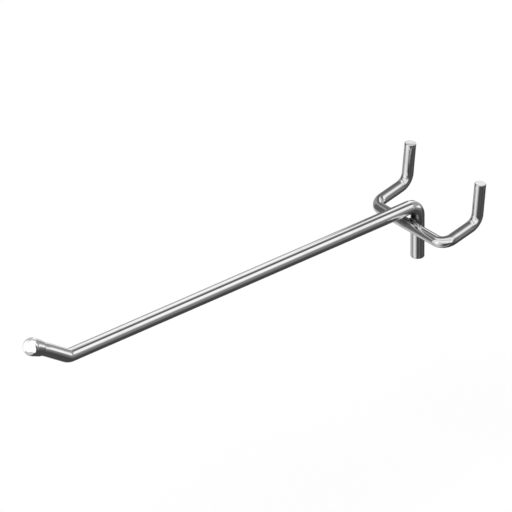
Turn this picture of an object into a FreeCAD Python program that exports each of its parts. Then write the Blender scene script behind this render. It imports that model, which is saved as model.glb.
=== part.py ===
import FreeCAD, Part
import math
import os

from FreeCAD import Vector

# Welded wire display hook for a perforated board.
# All lengths are in millimetres and all angles in degrees.
# X runs along the crossbar from hole to hole, Y runs into the board and Z is up.
# The face of the board is the plane Y = 0, and Z = 0 is where the arms cross it.

# Prong wire: a leg that bears on the board, a long rod and an upturned tip
prong_diameter = 6.8
leg_drop = 28.75
rear_bend_radius = 6.0
prong_reach = 218.95
tip_bend_radius = 6.0
tip_rise = 32.8
tip_run = 16.7
tip_droop = 4.0
droop_bend_radius = 14.0
droop_to_ball = 9.2

# Ball tip: a round nose that tapers back to a collar, bored to push over the end of the prong
ball_diameter = 9.0
collar_diameter = 7.9
collar_length = 5.6
collar_edge_chamfer = 0.3
ball_bore_depth = 5.0
bore_mouth_chamfer = 0.15

# Back wire: a crossbar, two arms that pass through the board and two upturned pegs
back_diameter = 5.7
hole_pitch = 50.8
crossbar_drop = 9.55
arm_run = 21.4
arm_rise = 12.7
arm_bend_radius = 5.6
peg_run = 20.9
peg_lean = 6.0
peg_bend_radius = 6.5

# Weld: how far the crossbar sinks into the leg, and the rim of metal squeezed out round it
weld_set_down = 0.7
flash_diameter = 6.2
flash_thickness = 3.0
flash_land = 1.0

# Bevel that takes the burr off each sheared wire end
cut_edge_chamfer = 0.35

prong_radius = prong_diameter / 2
back_radius = back_diameter / 2
ball_radius = ball_diameter / 2
collar_radius = collar_diameter / 2


def rising(angle, towards_board):
    """Unit vector in the Y-Z plane that climbs by the angle, into the board or away from it."""
    run = math.cos(math.radians(angle))
    climb = math.sin(math.radians(angle))
    return Vector(0, run if towards_board else -run, climb)


def bend_points(before, corner, after, radius):
    """Start, middle and end of the arc that rounds one corner of a wire's centreline."""
    back = (before - corner).normalize()
    ahead = (after - corner).normalize()
    half_opening = back.getAngle(ahead) / 2
    tangent_length = radius / math.tan(half_opening)
    bisector = (back + ahead).normalize()
    middle = corner + bisector * (radius / math.sin(half_opening) - radius)
    return corner + back * tangent_length, middle, corner + ahead * tangent_length


def bent_wire(corners, radii, diameter):
    """Round wire that runs straight between its corners and bends at each by its own radius."""
    edges = []
    start = corners[0]
    for index, radius in enumerate(radii, 1):
        first, middle, last = bend_points(corners[index - 1], corners[index], corners[index + 1], radius)
        edges.append(Part.makeLine(start, first))
        edges.append(Part.Arc(first, middle, last).toShape())
        start = last
    edges.append(Part.makeLine(start, corners[-1]))
    centreline = Part.Wire(edges)
    section = Part.makeCircle(diameter / 2, corners[0], corners[1] - corners[0])
    wire = centreline.makePipeShell([Part.Wire(section)], True, False)
    expected = centreline.Length * math.pi * diameter ** 2 / 4
    print("wire length %.2f, volume %.1f of %.1f" % (centreline.Length, wire.Volume, expected))
    return wire


def ease_cut_end(wire, end, diameter):
    """Take the burr off the sheared end of a wire with a small bevel."""
    rim = [
        edge for edge in wire.Edges
        if isinstance(edge.Curve, Part.Circle)
        and edge.Curve.Center.distanceToPoint(end) < diameter / 100
        and abs(edge.Curve.Radius - diameter / 2) < diameter / 100
    ]
    return wire.makeChamfer(min(cut_edge_chamfer, diameter / 6), rim)


def turned(profile, origin, axis):
    """Solid of revolution: profile edges lie in the plane of the axis and the X direction."""
    outline = Part.Face(Part.Wire(profile))
    return outline.revolve(origin, axis, 360)


# Reference points of the two centrelines
leg_axis_y = -prong_radius
crossbar_y = leg_axis_y - (prong_radius + back_radius - weld_set_down)
crossbar_z = crossbar_y * math.tan(math.radians(arm_rise))
rod_axis_z = crossbar_z + crossbar_drop

rear_corner = Vector(0, leg_axis_y, rod_axis_z)
leg_end = rear_corner - Vector(0, 0, leg_drop)
tip_corner = rear_corner - Vector(0, prong_reach, 0)
droop_corner = tip_corner + rising(tip_rise, False) * tip_run
ball_axis = rising(tip_rise - tip_droop, False)
ball_centre = droop_corner + ball_axis * droop_to_ball
bore_bottom = ball_centre - ball_axis * (collar_length - ball_bore_depth)


def back_wire_side(side):
    """Corners of one arm and its peg, from the crossbar to the free end; side is -1 or 1."""
    crossbar_corner = Vector(side * hole_pitch / 2, crossbar_y, crossbar_z)
    peg_corner = crossbar_corner + rising(arm_rise, True) * arm_run
    peg_end = peg_corner + rising(90 - peg_lean, True) * peg_run
    return [crossbar_corner, peg_corner, peg_end]


def make_back_wire():
    left = back_wire_side(-1)
    right = back_wire_side(1)
    radii = [peg_bend_radius, arm_bend_radius, arm_bend_radius, peg_bend_radius]
    wire = bent_wire(left[::-1] + right, radii, back_diameter)
    wire = ease_cut_end(wire, left[-1], back_diameter)
    return ease_cut_end(wire, right[-1], back_diameter)


def make_prong_wire(back_wire):
    """The leg, rod and tip in one wire, with the weld seat pressed into the front of the leg."""
    corners = [leg_end, rear_corner, tip_corner, droop_corner, bore_bottom]
    radii = [rear_bend_radius, tip_bend_radius, droop_bend_radius]
    wire = bent_wire(corners, radii, prong_diameter)
    wire = ease_cut_end(wire, leg_end, prong_diameter)
    return wire.cut(back_wire)


def make_ball_tip():
    """Ball with a tapered collar turned as one piece, with a blind bore that seats on the prong's end."""
    side = Vector(1, 0, 0)

    def at(along, radius):
        return ball_centre + ball_axis * along + side * radius

    def on_ball(angle):
        return at(ball_radius * math.cos(angle), ball_radius * math.sin(angle))

    # The taper is a straight line from the collar's rim that just touches the ball
    rim_distance = math.hypot(collar_length, collar_radius)
    rim_angle = math.atan2(collar_radius, -collar_length)
    touch_angle = rim_angle - math.acos(ball_radius / rim_distance)
    taper = touch_angle - math.pi / 2
    nose = on_ball(0)
    shoulder = on_ball(touch_angle)
    edge_start = at(
        collar_edge_chamfer * math.cos(taper) - collar_length,
        collar_edge_chamfer * math.sin(taper) + collar_radius,
    )
    edge_end = at(-collar_length, collar_radius - collar_edge_chamfer)
    mouth = at(-collar_length, prong_radius + bore_mouth_chamfer)
    bore_start = at(bore_mouth_chamfer - collar_length, prong_radius)
    bore_end = at(ball_bore_depth - collar_length, prong_radius)
    bore_centre = at(ball_bore_depth - collar_length, 0)
    profile = [
        Part.Arc(nose, on_ball(touch_angle / 2), shoulder).toShape(),
        Part.makeLine(shoulder, edge_start),
        Part.makeLine(edge_start, edge_end),
        Part.makeLine(edge_end, mouth),
        Part.makeLine(mouth, bore_start),
        Part.makeLine(bore_start, bore_end),
        Part.makeLine(bore_end, bore_centre),
        Part.makeLine(bore_centre, nose),
    ]
    return turned(profile, ball_centre, ball_axis)


def make_weld_flash(prong_wire, back_wire):
    """Rim of metal squeezed out between the crossed wires, filling the wedge round their seat."""
    seat = Vector(0, crossbar_y + back_radius - weld_set_down / 2, crossbar_z)
    half = Vector(0, flash_thickness / 2, 0)
    land = Vector(0, flash_land / 2, 0)
    shoulder = Vector(flash_diameter / 2 - (flash_thickness - flash_land) / 2, 0, 0)
    rim = Vector(flash_diameter / 2, 0, 0)
    outline = [
        seat - half,
        seat - half + shoulder,
        seat - land + rim,
        seat + land + rim,
        seat + half + shoulder,
        seat + half,
        seat - half,
    ]
    profile = [Part.makeLine(start, end) for start, end in zip(outline, outline[1:])]
    bead = turned(profile, seat, Vector(0, 1, 0))
    return bead.cut(prong_wire).cut(back_wire)


os.makedirs("parts", exist_ok=True)

back_wire = make_back_wire()
prong_wire = make_prong_wire(back_wire)
pieces = {
    "prong_wire": prong_wire,
    "ball_tip": make_ball_tip(),
    "back_wire": back_wire,
    "weld_flash": make_weld_flash(prong_wire, back_wire),
}
for name, shape in pieces.items():
    box = shape.optimalBoundingBox()
    low = [round(value, 2) for value in (box.XMin, box.YMin, box.ZMin)]
    high = [round(value, 2) for value in (box.XMax, box.YMax, box.ZMax)]
    print(name, "solids", len(shape.Solids), "valid", shape.isValid(), "volume", round(shape.Volume, 2), low, high)
    shape.exportStep("parts/%s.step" % name)
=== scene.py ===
import math
from collections import namedtuple

import bpy
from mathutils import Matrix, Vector, noise


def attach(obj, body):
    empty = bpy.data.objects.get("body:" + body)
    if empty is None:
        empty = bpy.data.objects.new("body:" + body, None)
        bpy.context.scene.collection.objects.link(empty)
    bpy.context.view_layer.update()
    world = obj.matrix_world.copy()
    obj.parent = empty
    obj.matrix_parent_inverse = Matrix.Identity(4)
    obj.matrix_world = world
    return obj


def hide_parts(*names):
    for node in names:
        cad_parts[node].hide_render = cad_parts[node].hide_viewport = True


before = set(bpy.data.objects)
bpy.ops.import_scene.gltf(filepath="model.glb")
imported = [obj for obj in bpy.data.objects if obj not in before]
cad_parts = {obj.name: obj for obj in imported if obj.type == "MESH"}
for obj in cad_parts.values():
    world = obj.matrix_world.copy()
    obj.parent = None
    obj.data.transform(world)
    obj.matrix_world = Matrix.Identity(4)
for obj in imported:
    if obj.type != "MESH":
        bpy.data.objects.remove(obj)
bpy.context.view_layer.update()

# Sizes of the hook in metres. The board's face is the plane Y = 0, and Z = 0 is where the arms cross it.
PRONG_RADIUS = 0.0034
LEG_DROP = 0.02875
PRONG_REACH = 0.21895
REAR_BEND_RADIUS = 0.0060
TIP_BEND_RADIUS = 0.0060
TIP_RISE = math.radians(32.8)
TIP_RUN = 0.0167
TIP_DROOP = math.radians(4.0)
DROOP_BEND_RADIUS = 0.0140
DROOP_TO_BALL = 0.0092

BALL_RADIUS = 0.0045
BALL_BORE_DEPTH = 0.0050
COLLAR_RADIUS = 0.00395
COLLAR_LENGTH = 0.0056
COLLAR_EDGE = 0.0003

BACK_RADIUS = 0.00285
HOLE_PITCH = 0.0508
CROSSBAR_DROP = 0.00955
ARM_RUN = 0.0214
ARM_RISE = math.radians(12.7)
ARM_BEND_RADIUS = 0.0056
PEG_RUN = 0.0209
PEG_LEAN = math.radians(6.0)
PEG_BEND_RADIUS = 0.0065

# The weld's bead, with a rounded rim and a flat core that carries no lumps
WELD_SET_DOWN = 0.0007
WELD_RADIUS = 0.00295
WELD_ROUNDING = 0.00135
WELD_CORE = WELD_RADIUS / 4

# Lumps in the bead's rim: how many to the metre, and how far they swell
WELD_LUMPS = ((900, 0.00022), (2600, 0.00007))

# Sheared ends: how far their edge is eased, and how far the cut face is dished
CUT_EDGE = 0.00035
CUT_DISH = 0.00006

# Mouth of the collar: how deep each ring lies, and by how much its radius passes the prong's
COLLAR_MOUTH = ((0.0, 0.00012), (0.00015, -0.00005), (0.0004, -0.0004))

# Share by which a cold bend flattens the wire on its outer and inner side, and the turn that does so in full
BEND_SQUEEZE = 0.022
FULL_SQUEEZE_TURN = math.radians(60)

# The skins of the wires and of the ball lie this far inside their solids, so that no facet stands outside
SKIN_INSET = 0.00001

# Mesh fineness
AROUND = 96
RING_GAP_STRAIGHT = 0.0025
RING_GAP_BEND = math.radians(2.5)
RING_GAP_SEAT = 0.00022
SEAT_REACH = 0.0030
FEWEST_STRAIGHT_RINGS = 2
FEWEST_BEND_RINGS = 6
CUT_FACE_RINGS = (0.25, 0.5, 0.75, 0.9)
EDGE_RINGS = 6
TAPER_RINGS = 6
BALL_RINGS = 48
WELD_AROUND = 128
WELD_RINGS = 24

# The one map of every mesh here: metres round and along on the hook's skins, 0 to 1 across and up on a sheet
MAP_NAME = "unrolled"

# The photograph's view: its angles, its scale, and the pixel where the rear corner of the prong lies.
# The lens is very long, because the photograph shows almost no perspective. Lens and sensor are in
# millimetres, and the clipping is in metres.
VIEW_AZIMUTH = math.radians(49.287)
VIEW_ELEVATION = math.radians(30.321)
MM_PER_PIXEL = 0.47779
FRAME_PIXELS = 512
REAR_CORNER_PIXEL = (417.158, 203.290)
LENS = 1500.0
SENSOR = 36.0
CLIP_START = 0.1
CLIP_END = 40.0

# The plate's own grey, the duller grey under fingermarks, a near-black painted shade for the dark corner
# round the weld between the rod and the crossbar, and the grey of the sheared ends
PLATE = (0.80, 0.80, 0.80, 1)
HAZED_PLATE = (0.72, 0.725, 0.73, 1)
PAINTED_WELD_SHADE = (0.13, 0.128, 0.125, 1)
SHEARED_PLATE = (0.70, 0.70, 0.70, 1)
PLATE_ROUGHNESS = 0.035
HAZE_ROUGHNESS = 0.085
SCRATCH_ROUGHNESS = 0.20
PAINTED_WELD_SHADE_ROUGHNESS = 0.26
SHEARED_ROUGHNESS = 0.12

# How gradually a haze patch starts, how thick a scratch is in its cell from its core to its edge, and the
# stretch at each end of a wire over which the sheared grey gives way to the plate
HAZE_SOFTNESS = 0.25
SCRATCH_CORE = 0.05
SCRATCH_EDGE = 0.11
SHEAR_SHOWS = (0.00001, 0.00040)

# The middle of the painted shade round the weld, a little to the left of the weld's middle and above it, and
# the grain of its uneven border
PAINTED_WELD_SHADE_OFFSET = Vector((-0.0016, 0.0, 0.0018))
PAINTED_WELD_SHADE_GRAINS_PER_METRE = 700.0

# Each finish: how wide its drawing lines are, their share against the soft waves, the height of the two,
# how much of it is hazed, and how far the painted shade round the weld reaches, in full and at most. Lengths
# are in metres.
FINISHES = {
    "prong_chrome": dict(line_width=0.0005, line_share=0.35, ripple=0.0000070, painted_weld_shade=(0.0034, 0.0070)),
    "back_chrome": dict(line_width=0.0004, line_share=0.45, ripple=0.0000080, painted_weld_shade=(0.0036, 0.0066)),
    "ball_chrome": dict(line_width=0.0006, line_share=0.20, ripple=0.0000050, haze_cover=0.45),
    "weld_chrome": dict(line_width=0.0008, line_share=0.15, ripple=0.0000600, painted_weld_shade=(0.0062, 0.0080)),
}

# The studio as the chrome sees it: azimuth and elevation of each card's middle, its half width and half
# height, how soft its sides and ends are, all in degrees, and its level, where 1 is the backdrop's white.
# A later card stands in front of an earlier one, and the fill is the level where no card stands.
STUDIO_FILL = 0.40
STUDIO_CARDS = {
    "white front": (-75, 25, 80, 66, 4, 5, 1.00),
    "front gap": (-85, 10, 46, 4, 8, 3, 0.25),
    "ceiling gap": (-70, 60, 44, 4, 8, 3, 0.35),
    "left wall": (-148, 12, 22, 36, 5, 8, 0.13),
    "left floor": (-150, -36, 34, 14, 6, 6, 0.36),
    "back fill": (-178, 20, 11, 40, 6, 10, 0.36),
    "right dark": (16, 4, 12, 22, 4, 10, 0.14),
    "dark ground": (40, -56, 68, 44, 14, 12, 0.07),
    "low front": (-95, -66, 60, 16, 8, 8, 0.70),
    "right box": (39, 40, 12, 29, 5, 13, 1.14),
    "right glow": (42, -6, 14, 18, 10, 14, 0.24),
    "rear box": (127, 28, 15, 36, 4, 5, 1.12),
    "rear middle": (100, 12, 14, 16, 5, 8, 0.36),
    "low band": (66, 1, 14, 7, 6, 5, 1.15),
    "roof gap": (71, 53, 10, 9, 4, 5, 0.13),
    "rear flag": (157, 38, 10, 28, 3, 6, 0.16),
    "rear roof": (140, 68, 20, 8, 6, 6, 0.17),
}

# A card shows only in directions whose cosine to its middle is above this
CARD_IN_VIEW = 0.02

# Sheets that stand close to the hook and that only its chrome sees: a low corner, the way across and the way
# up, the level, and how far each fades out at its near side, far side, foot and top. Lengths are in metres.
NEAR_SHEETS = {
    "low_flag": ((-0.04, -0.20, -0.60), (0.90, 0, 0), (0, 0, 0.61), 0.08, (0.26, 0, 0, 0.05)),
    "rear_low_flag": ((-0.10, 0.02, -0.08), (0, 0.125, 0), (0, 0, 0.142), 0.17, (0.025, 0.01, 0.03, 0.006)),
    "rear_high_flag": ((-0.10, 0.02, 0.055), (0, 0.065, 0), (0, 0, 0.10), 0.17, (0.025, 0.008, 0.004, 0.03)),
    "ball_front_card": ((-0.05, -0.30, -0.034), (0.10, 0, 0), (0, 0, 0.109), 1.25, (0, 0, 0.008, 0)),
    "ball_right_card": ((0.05, -0.30, -0.034), (0, 0.0605, 0), (0, 0, 0.109), 1.25, (0, 0.001, 0.008, 0)),
    "ball_left_card": ((-0.05, -0.30, -0.034), (0, 0.056, 0), (0, 0, 0.109), 1.25, (0, 0.001, 0.008, 0)),
    "ball_rear_card": ((-0.05, -0.244, -0.034), (0, 0.05, 0), (0, 0, 0.109), 0.62, (0.001, 0.01, 0.008, 0)),
    "ball_top_card": (
        (0.021, -0.325, 0.075), (0.0652, 0.0758, 0), (-0.068, 0.058, 0), 1.25, (0, 0.01, 0.002, 0.001),
    ),
    "ball_lid_card": ((-0.05, -0.30, 0.075), (0.10, 0, 0), (0, 0.026, 0), 1.25, (0, 0, 0, 0)),
    "ball_back_card": (
        (-0.047, -0.267, 0.075), (0.0652, 0.0758, 0), (-0.0455, 0.0391, 0), 0.72, (0, 0.01, 0, 0.01),
    ),
}

# Share of a sheet's side that an edge without a fade takes
SHARP_EDGE = 0.0001

# Level of the background in the camera, of the even light on all that isn't chrome, and the lamp's strength,
# width and direction as an azimuth and an elevation in degrees
WHITE = 1.0
SKY_LIGHT = 0.86
KEY_LIGHT = 0.62
KEY_SPREAD = math.radians(38)
KEY_FROM = (-75, 55)

# Pale paper under the hook: how far below the leg it lies, its half side, and its faint grain
FLOOR_DROP = 0.12
FLOOR_HALF = 6.0
FLOOR_COLOUR = (0.99, 0.99, 0.99, 1)
FLOOR_ROUGHNESS = 0.9
FLOOR_GRAINS_PER_METRE = 300.0
FLOOR_GRAIN_HEIGHT = 0.0001
FLOOR_GRAIN_STRENGTH = 0.1


def rising(angle, towards_board):
    """Unit vector in the Y-Z plane that climbs by the angle, into the board or away from it."""
    run = math.cos(angle)
    return Vector((0, run if towards_board else -run, math.sin(angle)))


def toward(azimuth, elevation):
    """Unit vector at an azimuth from +X towards +Y and an elevation, both in degrees."""
    turn, climb = math.radians(azimuth), math.radians(elevation)
    return Vector((math.cos(climb) * math.cos(turn), math.cos(climb) * math.sin(turn), math.sin(climb)))


# Reference points of the two centrelines
leg_axis_y = -PRONG_RADIUS
crossbar_y = leg_axis_y - (PRONG_RADIUS + BACK_RADIUS - WELD_SET_DOWN)
crossbar_z = crossbar_y * math.tan(ARM_RISE)
rod_axis_z = crossbar_z + CROSSBAR_DROP

rear_corner = Vector((0, leg_axis_y, rod_axis_z))
leg_end = rear_corner - Vector((0, 0, LEG_DROP))
tip_corner = rear_corner - Vector((0, PRONG_REACH, 0))
droop_corner = tip_corner + rising(TIP_RISE, False) * TIP_RUN
ball_axis = rising(TIP_RISE - TIP_DROOP, False)
ball_centre = droop_corner + ball_axis * DROOP_TO_BALL
bore_bottom = ball_centre - ball_axis * (COLLAR_LENGTH - BALL_BORE_DEPTH)
weld_seat = Vector((0, crossbar_y + BACK_RADIUS - WELD_SET_DOWN / 2, crossbar_z))

# One ring of a wire: its middle, the way the wire runs, the outer side of the bend, how far the bend squeezes
# it, its distance along the wire, the way to its first point, and its radius
Ring = namedtuple("Ring", "point heading outward squeeze distance side radius", defaults=(None, None))


def smooth_object(name, points, faces, uv):
    """Mesh object with smooth faces; uv is one pair for each corner of each face."""
    mesh = bpy.data.meshes.new(name)
    mesh.from_pydata([tuple(p) for p in points], [], faces)
    mesh.polygons.foreach_set("use_smooth", [True] * len(mesh.polygons))
    layer = mesh.uv_layers.new(name=MAP_NAME)
    layer.data.foreach_set("uv", [value for pair in uv for value in pair])
    mesh.update()
    made = bpy.data.objects.new(name, mesh)
    bpy.context.scene.collection.objects.link(made)
    return made


def straight_rings(first, last, heading, travelled, seat_level):
    """Rings along a straight run, closer together where the weld's seat is pressed in."""
    length = (last - first).length
    steps = max(FEWEST_STRAIGHT_RINGS, round(length / RING_GAP_STRAIGHT))
    marks = [length * step / steps for step in range(steps + 1)]
    if seat_level is not None:
        middle = (seat_level - first).dot(heading)
        if 0 < middle < length and (first + heading * middle - seat_level).length < PRONG_RADIUS:
            count = round(2 * SEAT_REACH / RING_GAP_SEAT)
            close = [middle - SEAT_REACH + 2 * SEAT_REACH * k / count for k in range(count + 1)]
            marks = sorted([m for m in marks if abs(m - middle) > SEAT_REACH + RING_GAP_SEAT] + close)
    return [Ring(first + heading * mark, heading, Vector(), 0.0, travelled + mark) for mark in marks]


def centreline_rings(corners, radii, seat_level):
    """Rings along a wire that runs straight between its corners and bends at each by its own radius."""
    rings = []
    start = corners[0]
    travelled = 0.0
    for index, radius in enumerate(radii, 1):
        corner = corners[index]
        back = (corners[index - 1] - corner).normalized()
        ahead = (corners[index + 1] - corner).normalized()
        turn = math.pi - back.angle(ahead)
        tangent = radius * math.tan(turn / 2)
        centre = corner + (back + ahead).normalized() * radius / math.cos(turn / 2)
        first = corner + back * tangent
        rings += straight_rings(start, first, -back, travelled, seat_level)
        travelled += (first - start).length
        steps = max(FEWEST_BEND_RINGS, round(turn / RING_GAP_BEND))
        outward = (first - centre).normalized()
        for step in range(1, steps):
            angle = turn * step / steps
            out = outward * math.cos(angle) - back * math.sin(angle)
            heading = -back * math.cos(angle) - outward * math.sin(angle)
            share = math.sin(math.pi * step / steps) ** 2 * min(1.0, turn / FULL_SQUEEZE_TURN)
            rings.append(Ring(centre + out * radius, heading, out, share, travelled + radius * angle))
        travelled += radius * turn
        start = corner + ahead * tangent
    heading = (corners[-1] - corners[-2]).normalized()
    return rings + straight_rings(start, corners[-1], heading, travelled, seat_level)


def sheared_end(end, outward):
    """Rings of an eased, slightly dished cut face, from its middle out to the side of the wire."""
    rings = []
    for share in CUT_FACE_RINGS:
        dish = CUT_DISH * (1 - share ** 2)
        rings.append(end._replace(point=end.point - outward * dish, radius=(end.radius - CUT_EDGE) * share))
    for step in range(EDGE_RINGS):
        angle = math.pi / 2 * step / EDGE_RINGS
        inset = CUT_EDGE * (1 - math.sin(angle))
        drop = CUT_EDGE * (1 - math.cos(angle))
        rings.append(end._replace(point=end.point - outward * drop, radius=end.radius - inset))
    return rings


def wire_rings(corners, radii, radius, seat_level):
    """All the rings of a wire, from the middle of one sheared end to the middle of the other."""
    rings = []
    # Both wires start at right angles to X
    side = Vector((1, 0, 0))
    for ring in centreline_rings(corners, radii, seat_level):
        side = (side - ring.heading * side.dot(ring.heading)).normalized()
        rings.append(ring._replace(side=side.copy(), radius=radius))
    first, last = rings[0], rings[-1]
    rings[0] = first._replace(point=first.point + first.heading * CUT_EDGE)
    rings[-1] = last._replace(point=last.point - last.heading * CUT_EDGE)
    return sheared_end(first, -first.heading) + rings + sheared_end(last, last.heading)[::-1]


def ring_points(ring):
    """Points round one ring, pulled in on the outer and inner side of a bend."""
    points = []
    other = ring.heading.cross(ring.side)
    for k in range(AROUND):
        angle = 2 * math.pi * k / AROUND
        spoke = ring.side * math.cos(angle) + other * math.sin(angle)
        if ring.squeeze:
            in_plane = spoke.dot(ring.outward)
            spoke = spoke - ring.outward * in_plane * BEND_SQUEEZE * ring.squeeze
        points.append(ring.point + spoke * ring.radius)
    return points


def wire_mesh(name, corners, radii, radius, seat=None, seat_level=None):
    """Round wire swept along its centreline, squeezed in its bends, with sheared ends and a pressed seat."""
    rings = wire_rings(corners, radii, radius, seat_level)
    points = [point for ring in rings for point in ring_points(ring)]
    faces = []
    uv = []
    for r in range(len(rings) - 1):
        for k in range(AROUND):
            a = r * AROUND + k
            b = r * AROUND + (k + 1) % AROUND
            faces.append((a, b, b + AROUND, a + AROUND))
            for turn, ring in ((k, r), (k + 1, r), (k + 1, r + 1), (k, r + 1)):
                uv.append((turn / AROUND * 2 * math.pi * radius, rings[ring].distance))
    for ring, flip in ((0, True), (len(rings) - 1, False)):
        middle = len(points)
        points.append(sum((points[ring * AROUND + k] for k in range(AROUND)), Vector()) / AROUND)
        for k in range(AROUND):
            a = ring * AROUND + k
            b = ring * AROUND + (k + 1) % AROUND
            faces.append((b, a, middle) if flip else (a, b, middle))
            uv.extend([(0.0, rings[ring].distance)] * 3)
    if seat:
        points = [seat(p) for p in points]
    return smooth_object(name, points, faces, uv)


def revolved(name, profile, origin, axis, steps, shape=None):
    """Solid of revolution from (along, radius) pairs; the first and last lie on the axis."""
    side = Vector((1, 0, 0))
    other = axis.cross(side)
    points = [origin + axis * profile[0][0]]
    for along, radius in profile[1:-1]:
        for k in range(steps):
            angle = 2 * math.pi * k / steps
            points.append(origin + axis * along + (side * math.cos(angle) + other * math.sin(angle)) * radius)
    points.append(origin + axis * profile[-1][0])
    if shape:
        points = [shape(p) for p in points]
    faces = []
    uv = []

    def unroll(*corners):
        for turn, ring in corners:
            uv.append((turn / steps * 2 * math.pi * COLLAR_RADIUS, profile[ring][0]))

    for k in range(steps):
        faces.append((0, 1 + k, 1 + (k + 1) % steps))
        unroll((k, 0), (k, 1), (k + 1, 1))
    for ring in range(1, len(profile) - 2):
        for k in range(steps):
            a = 1 + (ring - 1) * steps + k
            b = 1 + (ring - 1) * steps + (k + 1) % steps
            faces.append((a, a + steps, b + steps, b))
            unroll((k, ring), (k, ring + 1), (k + 1, ring + 1), (k + 1, ring))
    base = 1 + (len(profile) - 3) * steps
    last = len(profile) - 1
    for k in range(steps):
        faces.append((base + k, len(points) - 1, base + (k + 1) % steps))
        unroll((k, last - 1), (k, last), (k + 1, last - 1))
    return smooth_object(name, points, faces, uv)


def press_seat(point):
    """Pushes the front of the leg back to where the crossbar has sunk into it."""
    off_axis = point.z - crossbar_z
    if abs(off_axis) >= BACK_RADIUS or not crossbar_y < point.y < leg_axis_y:
        return point
    surface = crossbar_y + math.sqrt(BACK_RADIUS ** 2 - off_axis ** 2)
    return Vector((point.x, max(point.y, surface), point.z))


def make_prong():
    """Leg, rod and upturned tip in one wire, whose last run ends in the ball."""
    corners = [leg_end, rear_corner, tip_corner, droop_corner, bore_bottom]
    radii = [REAR_BEND_RADIUS, TIP_BEND_RADIUS, DROOP_BEND_RADIUS]
    seat_level = Vector((0, leg_axis_y, crossbar_z))
    return wire_mesh("prong_skin", corners, radii, PRONG_RADIUS - SKIN_INSET, press_seat, seat_level)


def back_wire_side(sign):
    """Corners of one arm and its peg, from the crossbar to the free end; sign is -1 or 1."""
    crossbar_corner = Vector((sign * HOLE_PITCH / 2, crossbar_y, crossbar_z))
    peg_corner = crossbar_corner + rising(ARM_RISE, True) * ARM_RUN
    return [crossbar_corner, peg_corner, peg_corner + rising(math.pi / 2 - PEG_LEAN, True) * PEG_RUN]


def make_back_wire():
    """Peg, arm, crossbar, arm and peg in one wire."""
    corners = back_wire_side(-1)[::-1] + back_wire_side(1)
    radii = [PEG_BEND_RADIUS, ARM_BEND_RADIUS, ARM_BEND_RADIUS, PEG_BEND_RADIUS]
    return wire_mesh("back_wire_skin", corners, radii, BACK_RADIUS - SKIN_INSET)


def make_ball():
    """Ball that tapers back to its collar, whose mouth closes round the prong."""
    radius = BALL_RADIUS - SKIN_INSET
    rim_distance = math.hypot(COLLAR_LENGTH, COLLAR_RADIUS)
    sphere_end = math.atan2(COLLAR_RADIUS, -COLLAR_LENGTH) - math.acos(radius / rim_distance)
    profile = []
    for step in range(BALL_RINGS + 1):
        angle = sphere_end * step / BALL_RINGS
        profile.append((radius * math.cos(angle), radius * math.sin(angle)))
    shoulder = profile[-1]
    slope = (COLLAR_RADIUS - shoulder[1]) / (-COLLAR_LENGTH - shoulder[0])
    for step in range(1, TAPER_RINGS):
        along = shoulder[0] + (COLLAR_EDGE - COLLAR_LENGTH - shoulder[0]) * step / TAPER_RINGS
        profile.append((along, shoulder[1] + (along - shoulder[0]) * slope))
    for step in range(EDGE_RINGS + 1):
        angle = math.pi / 2 * step / EDGE_RINGS
        profile.append((
            -COLLAR_LENGTH + COLLAR_EDGE * (1 - math.sin(angle)),
            COLLAR_RADIUS - COLLAR_EDGE * (1 - math.cos(angle)),
        ))
    for depth, wider in COLLAR_MOUTH:
        profile.append((-COLLAR_LENGTH + depth, PRONG_RADIUS + wider))
    profile.append((profile[-1][0], 0.0))
    return revolved("ball_skin", profile, ball_centre, ball_axis, AROUND)


def lump(point):
    """Small uneven swellings that the weld leaves in its rim."""
    away = point - weld_seat
    away.y = 0
    if away.length < WELD_CORE:
        return point
    swell = sum(noise.noise(point * per_metre) * height for per_metre, height in WELD_LUMPS)
    return point + away.normalized() * swell


def make_weld():
    """Rim of squeezed-out metal round the seat, with the small lumps that a weld leaves."""
    profile = [(WELD_ROUNDING, 0.0)]
    for step in range(WELD_RINGS + 1):
        angle = math.pi * step / WELD_RINGS
        profile.append((WELD_ROUNDING * math.cos(angle), WELD_RADIUS + WELD_ROUNDING * (math.sin(angle) - 1)))
    profile.append((-WELD_ROUNDING, 0.0))
    return revolved("weld_skin", profile, weld_seat, Vector((0, 1, 0)), WELD_AROUND, lump)


def new_group(name, inputs, outputs):
    """Empty shader node group with its sockets; returns the tree with its input and output nodes."""
    tree = bpy.data.node_groups.new(name, "ShaderNodeTree")
    for title, kind, value in inputs:
        socket = tree.interface.new_socket(title, in_out="INPUT", socket_type="NodeSocket" + kind)
        if value is not None:
            socket.default_value = value
    for title, kind in outputs:
        tree.interface.new_socket(title, in_out="OUTPUT", socket_type="NodeSocket" + kind)
    return tree, tree.nodes.new("NodeGroupInput"), tree.nodes.new("NodeGroupOutput")


def new_material(name):
    """Material with its node tree and its shader."""
    material = bpy.data.materials.new(name)
    material.use_nodes = True
    return material, material.node_tree, material.node_tree.nodes["Principled BSDF"]


def put(tree, kind, settings, inputs):
    """Node with its settings, and its inputs set to values or linked to other sockets."""
    node = tree.nodes.new(kind)
    for key, value in settings.items():
        setattr(node, key, value)
    for key, value in inputs.items():
        if isinstance(value, bpy.types.NodeSocket):
            tree.links.new(value, node.inputs[key])
        else:
            node.inputs[key].default_value = value
    return node


def maths(tree, operation, first, second=0.0):
    """One sum on two numbers, or on the first alone."""
    return put(tree, "ShaderNodeMath", {"operation": operation}, {0: first, 1: second}).outputs[0]


def dot(tree, first, second):
    """Dot product of two vectors."""
    node = put(tree, "ShaderNodeVectorMath", {"operation": "DOT_PRODUCT"}, {0: first, 1: second})
    return node.outputs["Value"]


def step_between(tree, value, low, high, to_low=0.0, to_high=1.0):
    """Smooth step from one value to another."""
    node = put(tree, "ShaderNodeMapRange", {"interpolation_type": "SMOOTHSTEP"}, {
        "Value": value, "From Min": low, "From Max": high, "To Min": to_low, "To Max": to_high,
    })
    return node.outputs["Result"]


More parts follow.
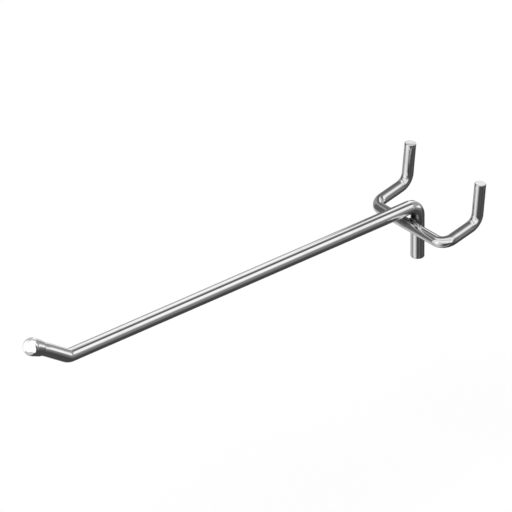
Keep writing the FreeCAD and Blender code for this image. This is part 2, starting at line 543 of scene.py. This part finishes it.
def blend(tree, mask, first, second):
    """The first number where the mask is 0, the second where it is 1."""
    return put(tree, "ShaderNodeMix", {"data_type": "FLOAT"}, {0: mask, 2: first, 3: second}).outputs[0]


def colour_blend(tree, mask, first, second):
    """The first colour where the mask is 0, the second where it is 1."""
    return put(tree, "ShaderNodeMix", {"data_type": "RGBA"}, {0: mask, 6: first, 7: second}).outputs[2]


def scaled_place(tree, position, size):
    """Position counted in steps of one size in all three directions."""
    sizes = put(tree, "ShaderNodeCombineXYZ", {}, {"X": size, "Y": size, "Z": size})
    place = put(tree, "ShaderNodeVectorMath", {"operation": "DIVIDE"}, {0: position, 1: sizes.outputs[0]})
    return place.outputs[0]


def unrolled_place(tree, unrolled, width, length):
    """Place on the unrolled wire, counted in widths round it and in lengths along it."""
    split = put(tree, "ShaderNodeSeparateXYZ", {}, {0: unrolled})
    around = maths(tree, "DIVIDE", split.outputs["X"], width)
    along = maths(tree, "DIVIDE", split.outputs["Y"], length)
    return put(tree, "ShaderNodeCombineXYZ", {}, {"X": around, "Y": along}).outputs[0]


def make_plating_surface():
    """Height of the plated wire: long lines from drawing it, and the soft waves of the plating over them."""
    tree, given, result = new_group(
        "plating_surface",
        [("Position", "Vector", None), ("Wire", "Vector", None), ("Line Width", "Float", 0.0004),
         ("Line Length", "Float", 0.030), ("Wave Size", "Float", 0.004), ("Line Share", "Float", 0.5)],
        [("Height", "Float")],
    )
    lines_at = unrolled_place(
        tree, given.outputs["Wire"], given.outputs["Line Width"], given.outputs["Line Length"])
    lines = put(tree, "ShaderNodeTexNoise", {}, {
        "Vector": lines_at, "Scale": 1.0, "Detail": 3.0, "Roughness": 0.62,
    })
    waves_at = scaled_place(tree, given.outputs["Position"], given.outputs["Wave Size"])
    waves = put(tree, "ShaderNodeTexNoise", {}, {
        "Vector": waves_at, "Scale": 1.0, "Detail": 1.5, "Roughness": 0.4,
    })
    height = blend(tree, given.outputs["Line Share"], waves.outputs["Fac"], lines.outputs["Fac"])
    tree.links.new(height, result.inputs["Height"])
    return tree


def make_handling_wear():
    """Masks of what handling leaves: a thin haze in patches, and fine scratches along the wire."""
    tree, given, result = new_group(
        "handling_wear",
        [("Position", "Vector", None), ("Wire", "Vector", None),
         ("Patch Size", "Float", 0.012), ("Patch Cover", "Float", 0.5),
         ("Scratch Spacing", "Float", 0.0011), ("Scratch Length", "Float", 0.014)],
        [("Haze", "Float"), ("Scratches", "Float")],
    )
    patch_at = scaled_place(tree, given.outputs["Position"], given.outputs["Patch Size"])
    patches = put(tree, "ShaderNodeTexNoise", {}, {
        "Vector": patch_at, "Scale": 1.0, "Detail": 4.0, "Roughness": 0.55, "Distortion": 0.6,
    })
    edge = maths(tree, "SUBTRACT", 1.0, given.outputs["Patch Cover"])
    haze = step_between(tree, patches.outputs["Fac"], edge, maths(tree, "ADD", edge, HAZE_SOFTNESS))
    scratch_at = unrolled_place(
        tree, given.outputs["Wire"], given.outputs["Scratch Spacing"], given.outputs["Scratch Length"])
    cells = put(tree, "ShaderNodeTexVoronoi", {"feature": "F1"}, {
        "Vector": scratch_at, "Scale": 1.0, "Randomness": 1.0,
    })
    scratches = step_between(tree, cells.outputs["Distance"], SCRATCH_CORE, SCRATCH_EDGE, 1.0, 0.0)
    tree.links.new(haze, result.inputs["Haze"])
    tree.links.new(scratches, result.inputs["Scratches"])
    return tree


def make_near_point():
    """Mask that is full at a point and fades out at a distance from it, with an uneven border."""
    tree, given, result = new_group(
        "near_point",
        [("Position", "Vector", None), ("Point", "Vector", None), ("Full Within", "Float", 0.003),
         ("None Beyond", "Float", 0.008), ("Border", "Float", 0.0012)],
        [("Mask", "Float")],
    )
    away = put(tree, "ShaderNodeVectorMath", {"operation": "DISTANCE"}, {
        0: given.outputs["Position"], 1: given.outputs["Point"],
    })
    uneven = put(tree, "ShaderNodeTexNoise", {}, {
        "Vector": given.outputs["Position"], "Scale": PAINTED_WELD_SHADE_GRAINS_PER_METRE, "Detail": 3.0,
    })
    swing = maths(tree, "SUBTRACT", uneven.outputs["Fac"], 0.5)
    shift = maths(tree, "MULTIPLY", swing, given.outputs["Border"])
    distance = maths(tree, "ADD", away.outputs["Value"], shift)
    mask = step_between(tree, distance, given.outputs["Full Within"], given.outputs["None Beyond"], 1.0, 0.0)
    tree.links.new(mask, result.inputs["Mask"])
    return tree


def make_sheared_face():
    """Mask of the cut ends of a wire, and the fine ridges that the shear leaves across them."""
    tree, given, result = new_group(
        "sheared_face",
        [("Position", "Vector", None), ("Wire", "Vector", None), ("Wire Length", "Float", 0.1),
         ("Ridge Spacing", "Float", 0.0003)],
        [("Mask", "Float"), ("Ridges", "Float")],
    )
    split = put(tree, "ShaderNodeSeparateXYZ", {}, {0: given.outputs["Wire"]})
    half = maths(tree, "MULTIPLY", given.outputs["Wire Length"], 0.5)
    from_middle = maths(tree, "ABSOLUTE", maths(tree, "SUBTRACT", split.outputs["Y"], half))
    mask = step_between(tree, maths(tree, "SUBTRACT", half, from_middle), *SHEAR_SHOWS, 1.0, 0.0)
    place = put(tree, "ShaderNodeSeparateXYZ", {}, {0: given.outputs["Position"]})
    ridge_at = maths(tree, "DIVIDE", place.outputs["Y"], given.outputs["Ridge Spacing"])
    ridges = put(tree, "ShaderNodeTexNoise", {"noise_dimensions": "1D"}, {
        "W": ridge_at, "Scale": 1.0, "Detail": 4.0,
    })
    tree.links.new(mask, result.inputs["Mask"])
    tree.links.new(ridges.outputs["Fac"], result.inputs["Ridges"])
    return tree


surface_group = make_plating_surface()
wear_group = make_handling_wear()
near_group = make_near_point()
shear_group = make_sheared_face()


def plated(name, cut_length, line_width, line_share, ripple, haze_cover=0.5, painted_weld_shade=None):
    """Bright chrome plate on steel; cut_length is the length of a wire with sheared ends, or None."""
    material, tree, shader = new_material(name)
    position = put(tree, "ShaderNodeTexCoord", {}, {}).outputs["Object"]
    wire = put(tree, "ShaderNodeUVMap", {"uv_map": MAP_NAME}, {}).outputs["UV"]
    surface = put(tree, "ShaderNodeGroup", {"node_tree": surface_group}, {
        "Position": position, "Wire": wire, "Line Width": line_width, "Line Share": line_share,
    })
    wear = put(tree, "ShaderNodeGroup", {"node_tree": wear_group}, {
        "Position": position, "Wire": wire, "Patch Cover": haze_cover,
    })
    colour = colour_blend(tree, wear.outputs["Haze"], PLATE, HAZED_PLATE)
    roughness = blend(tree, wear.outputs["Haze"], PLATE_ROUGHNESS, HAZE_ROUGHNESS)
    roughness = blend(tree, wear.outputs["Scratches"], roughness, SCRATCH_ROUGHNESS)
    height = surface.outputs["Height"]
    # Painted shade: near the weld the plate is darkened to near-black and made rougher, for the dark corner
    # between the rod and the crossbar
    if painted_weld_shade:
        full_within, none_beyond = painted_weld_shade
        near = put(tree, "ShaderNodeGroup", {"node_tree": near_group}, {
            "Position": position, "Point": weld_seat + PAINTED_WELD_SHADE_OFFSET,
            "Full Within": full_within, "None Beyond": none_beyond,
        })
        colour = colour_blend(tree, near.outputs["Mask"], colour, PAINTED_WELD_SHADE)
        roughness = blend(tree, near.outputs["Mask"], roughness, PAINTED_WELD_SHADE_ROUGHNESS)
    if cut_length:
        cut = put(tree, "ShaderNodeGroup", {"node_tree": shear_group}, {
            "Position": position, "Wire": wire, "Wire Length": cut_length,
        })
        colour = colour_blend(tree, cut.outputs["Mask"], colour, SHEARED_PLATE)
        roughness = blend(tree, cut.outputs["Mask"], roughness, SHEARED_ROUGHNESS)
        height = blend(tree, cut.outputs["Mask"], height, cut.outputs["Ridges"])
    bump = put(tree, "ShaderNodeBump", {}, {"Strength": 1.0, "Distance": ripple, "Height": height})
    tree.links.new(colour, shader.inputs["Base Color"])
    tree.links.new(roughness, shader.inputs["Roughness"])
    tree.links.new(bump.outputs["Normal"], shader.inputs["Normal"])
    shader.inputs["Metallic"].default_value = 1.0
    return material


def unrolled_length(piece):
    """Length of a wire's centreline, as its own map gives it."""
    return max(corner.uv[1] for corner in piece.data.uv_layers[MAP_NAME].data)


prong = make_prong()
back = make_back_wire()
ball = make_ball()
weld = make_weld()
for piece, node, slot, cut_length in (
    (prong, "prong_wire", "prong_chrome", unrolled_length(prong)),
    (back, "back_wire", "back_chrome", unrolled_length(back)),
    (ball, "ball_tip", "ball_chrome", None),
    (weld, "weld_flash", "weld_chrome", None),
):
    piece.data.materials.append(plated(slot, cut_length, **FINISHES[slot]))
    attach(piece, "root")
    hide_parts(node)


def card_mask(tree, direction, azimuth, elevation, width, height, sides, ends):
    """Mask of a soft-edged rectangular card in the studio, with all its angles in degrees."""
    centre = toward(azimuth, elevation)
    across = toward(azimuth + 90, 0)
    ahead = dot(tree, direction, centre)
    near = maths(tree, "MAXIMUM", ahead, CARD_IN_VIEW)
    masks = []
    for way, half, softness in ((across, width, sides), (centre.cross(across), height, ends)):
        offset = dot(tree, direction, way)
        angle = maths(tree, "ARCTANGENT", maths(tree, "ABSOLUTE", maths(tree, "DIVIDE", offset, near)))
        inner = math.radians(half - softness)
        outer = math.radians(half + softness)
        masks.append(step_between(tree, angle, inner, outer, 1.0, 0.0))
    both = maths(tree, "MULTIPLY", masks[0], masks[1])
    return maths(tree, "MULTIPLY", both, maths(tree, "GREATER_THAN", ahead, CARD_IN_VIEW))


def make_studio():
    """World: the studio in the chrome, white to the camera and an even light on everything else."""
    world = bpy.data.worlds.new("studio")
    bpy.context.scene.world = world
    world.use_nodes = True
    tree = world.node_tree
    background = tree.nodes["Background"]
    direction = put(tree, "ShaderNodeTexCoord", {}, {}).outputs["Generated"]
    level = STUDIO_FILL
    for name, (*shape, card_level) in STUDIO_CARDS.items():
        level = blend(tree, card_mask(tree, direction, *shape), level, card_level)
        level.node.label = name
    light_path = put(tree, "ShaderNodeLightPath", {}, {})
    plain = blend(tree, light_path.outputs["Is Camera Ray"], SKY_LIGHT, WHITE)
    tree.links.new(blend(tree, light_path.outputs["Is Glossy Ray"], plain, level), background.inputs["Color"])
    background.inputs["Strength"].default_value = 1.0


def staged_sheet(name, corner, across, upward):
    """Flat sheet that stands round the hook and isn't part of it; its map runs from 0 to 1 across and up."""
    points = [corner, corner + across, corner + across + upward, corner + upward]
    sheet = smooth_object(name, points, [(0, 1, 2, 3)], [(0, 0), (1, 0), (1, 1), (0, 1)])
    return sheet


def make_floor():
    """Pale paper with a faint grain."""
    material, tree, shader = new_material("floor_paper")
    position = put(tree, "ShaderNodeTexCoord", {}, {}).outputs["Object"]
    grain = put(tree, "ShaderNodeTexNoise", {}, {
        "Vector": position, "Scale": FLOOR_GRAINS_PER_METRE, "Detail": 3.0,
    })
    bump = put(tree, "ShaderNodeBump", {}, {
        "Strength": FLOOR_GRAIN_STRENGTH, "Distance": FLOOR_GRAIN_HEIGHT, "Height": grain.outputs["Fac"],
    })
    tree.links.new(bump.outputs["Normal"], shader.inputs["Normal"])
    shader.inputs["Base Color"].default_value = FLOOR_COLOUR
    shader.inputs["Roughness"].default_value = FLOOR_ROUGHNESS
    shader.inputs["Specular IOR Level"].default_value = 0.0
    low = Vector((-FLOOR_HALF, -FLOOR_HALF, leg_end.z - FLOOR_DROP))
    floor = staged_sheet("floor", low, Vector((2 * FLOOR_HALF, 0, 0)), Vector((0, 2 * FLOOR_HALF, 0)))
    floor.data.materials.append(material)
    # The chrome's undersides mirror the studio's dark ground, as in the photograph, and not this paper
    floor.visible_glossy = False


def make_faded_sheet():
    """Mask of a sheet that is full in its middle and fades out toward each of its four sides."""
    tree, given, result = new_group(
        "faded_sheet",
        [("Place", "Vector", None), ("Near Fade", "Float", 0.1), ("Far Fade", "Float", 0.1),
         ("Foot Fade", "Float", 0.1), ("Top Fade", "Float", 0.1)],
        [("Mask", "Float")],
    )
    split = put(tree, "ShaderNodeSeparateXYZ", {}, {0: given.outputs["Place"]})
    mask = 1.0
    for axis, start, end in (("X", "Near Fade", "Far Fade"), ("Y", "Foot Fade", "Top Fade")):
        covered = split.outputs[axis]
        rest = maths(tree, "SUBTRACT", 1.0, covered)
        mask = maths(tree, "MULTIPLY", mask, step_between(tree, covered, 0.0, given.outputs[start]))
        mask = maths(tree, "MULTIPLY", mask, step_between(tree, rest, 0.0, given.outputs[end]))
    tree.links.new(mask, result.inputs["Mask"])
    return tree


def make_near_sheets():
    """Flags and cards close to the hook, each glowing at its own level, with its edges faded to clear."""
    faded_sheet = make_faded_sheet()
    for name, (corner, across, upward, level, fades) in NEAR_SHEETS.items():
        across, upward = Vector(across), Vector(upward)
        material, tree, shader = new_material(name)
        place = put(tree, "ShaderNodeUVMap", {"uv_map": MAP_NAME}, {}).outputs["UV"]
        spans = (across.length, across.length, upward.length, upward.length)
        near, far, foot, top = (max(fade / span, SHARP_EDGE) for fade, span in zip(fades, spans))
        card = put(tree, "ShaderNodeGroup", {"node_tree": faded_sheet}, {
            "Place": place, "Near Fade": near, "Far Fade": far, "Foot Fade": foot, "Top Fade": top,
        })
        tree.links.new(card.outputs["Mask"], shader.inputs["Alpha"])
        shader.inputs["Base Color"].default_value = (0, 0, 0, 1)
        shader.inputs["Specular IOR Level"].default_value = 0.0
        shader.inputs["Emission Color"].default_value = (level, level, level, 1)
        shader.inputs["Emission Strength"].default_value = 1.0
        sheet = staged_sheet(name, Vector(corner), across, upward)
        sheet.data.materials.append(material)
        sheet.visible_camera = False
        sheet.visible_diffuse = False
        sheet.visible_transmission = False
        sheet.visible_shadow = False


def make_key_light():
    """Wide soft lamp from above and in front; the chrome mirrors the studio's cards, not the lamp itself."""
    data = bpy.data.lights.new("key_light", "SUN")
    data.energy = KEY_LIGHT
    data.angle = KEY_SPREAD
    lamp = bpy.data.objects.new("key_light", data)
    bpy.context.scene.collection.objects.link(lamp)
    lamp.rotation_mode = "QUATERNION"
    lamp.rotation_quaternion = toward(*KEY_FROM).to_track_quat("Z", "Y")
    lamp.visible_glossy = False


def make_camera():
    """Long lens along the photograph's view, aimed so that the prong's rear corner lands on its pixel."""
    data = bpy.data.cameras.new("camera")
    data.lens = LENS
    data.sensor_width = SENSOR
    data.clip_start = CLIP_START
    data.clip_end = CLIP_END
    camera = bpy.data.objects.new("camera", data)
    bpy.context.scene.collection.objects.link(camera)
    back_way = Vector((
        math.sin(VIEW_AZIMUTH) * math.cos(VIEW_ELEVATION),
        -math.cos(VIEW_AZIMUTH) * math.cos(VIEW_ELEVATION),
        math.sin(VIEW_ELEVATION),
    ))
    right = Vector((math.cos(VIEW_AZIMUTH), math.sin(VIEW_AZIMUTH), 0))
    up = back_way.cross(right)
    metres_per_pixel = MM_PER_PIXEL / 1000
    middle = (FRAME_PIXELS - 1) / 2
    aim = (
        rear_corner
        - right * (REAR_CORNER_PIXEL[0] - middle) * metres_per_pixel
        + up * (REAR_CORNER_PIXEL[1] - middle) * metres_per_pixel
    )
    distance = metres_per_pixel * FRAME_PIXELS / SENSOR * LENS
    camera.rotation_mode = "QUATERNION"
    camera.rotation_quaternion = (-back_way).to_track_quat("-Z", "Y")
    camera.location = aim + back_way * distance
    bpy.context.scene.camera = camera


make_camera()
make_studio()
make_floor()
make_near_sheets()
make_key_light()
bpy.context.scene.view_settings.view_transform = "Standard"
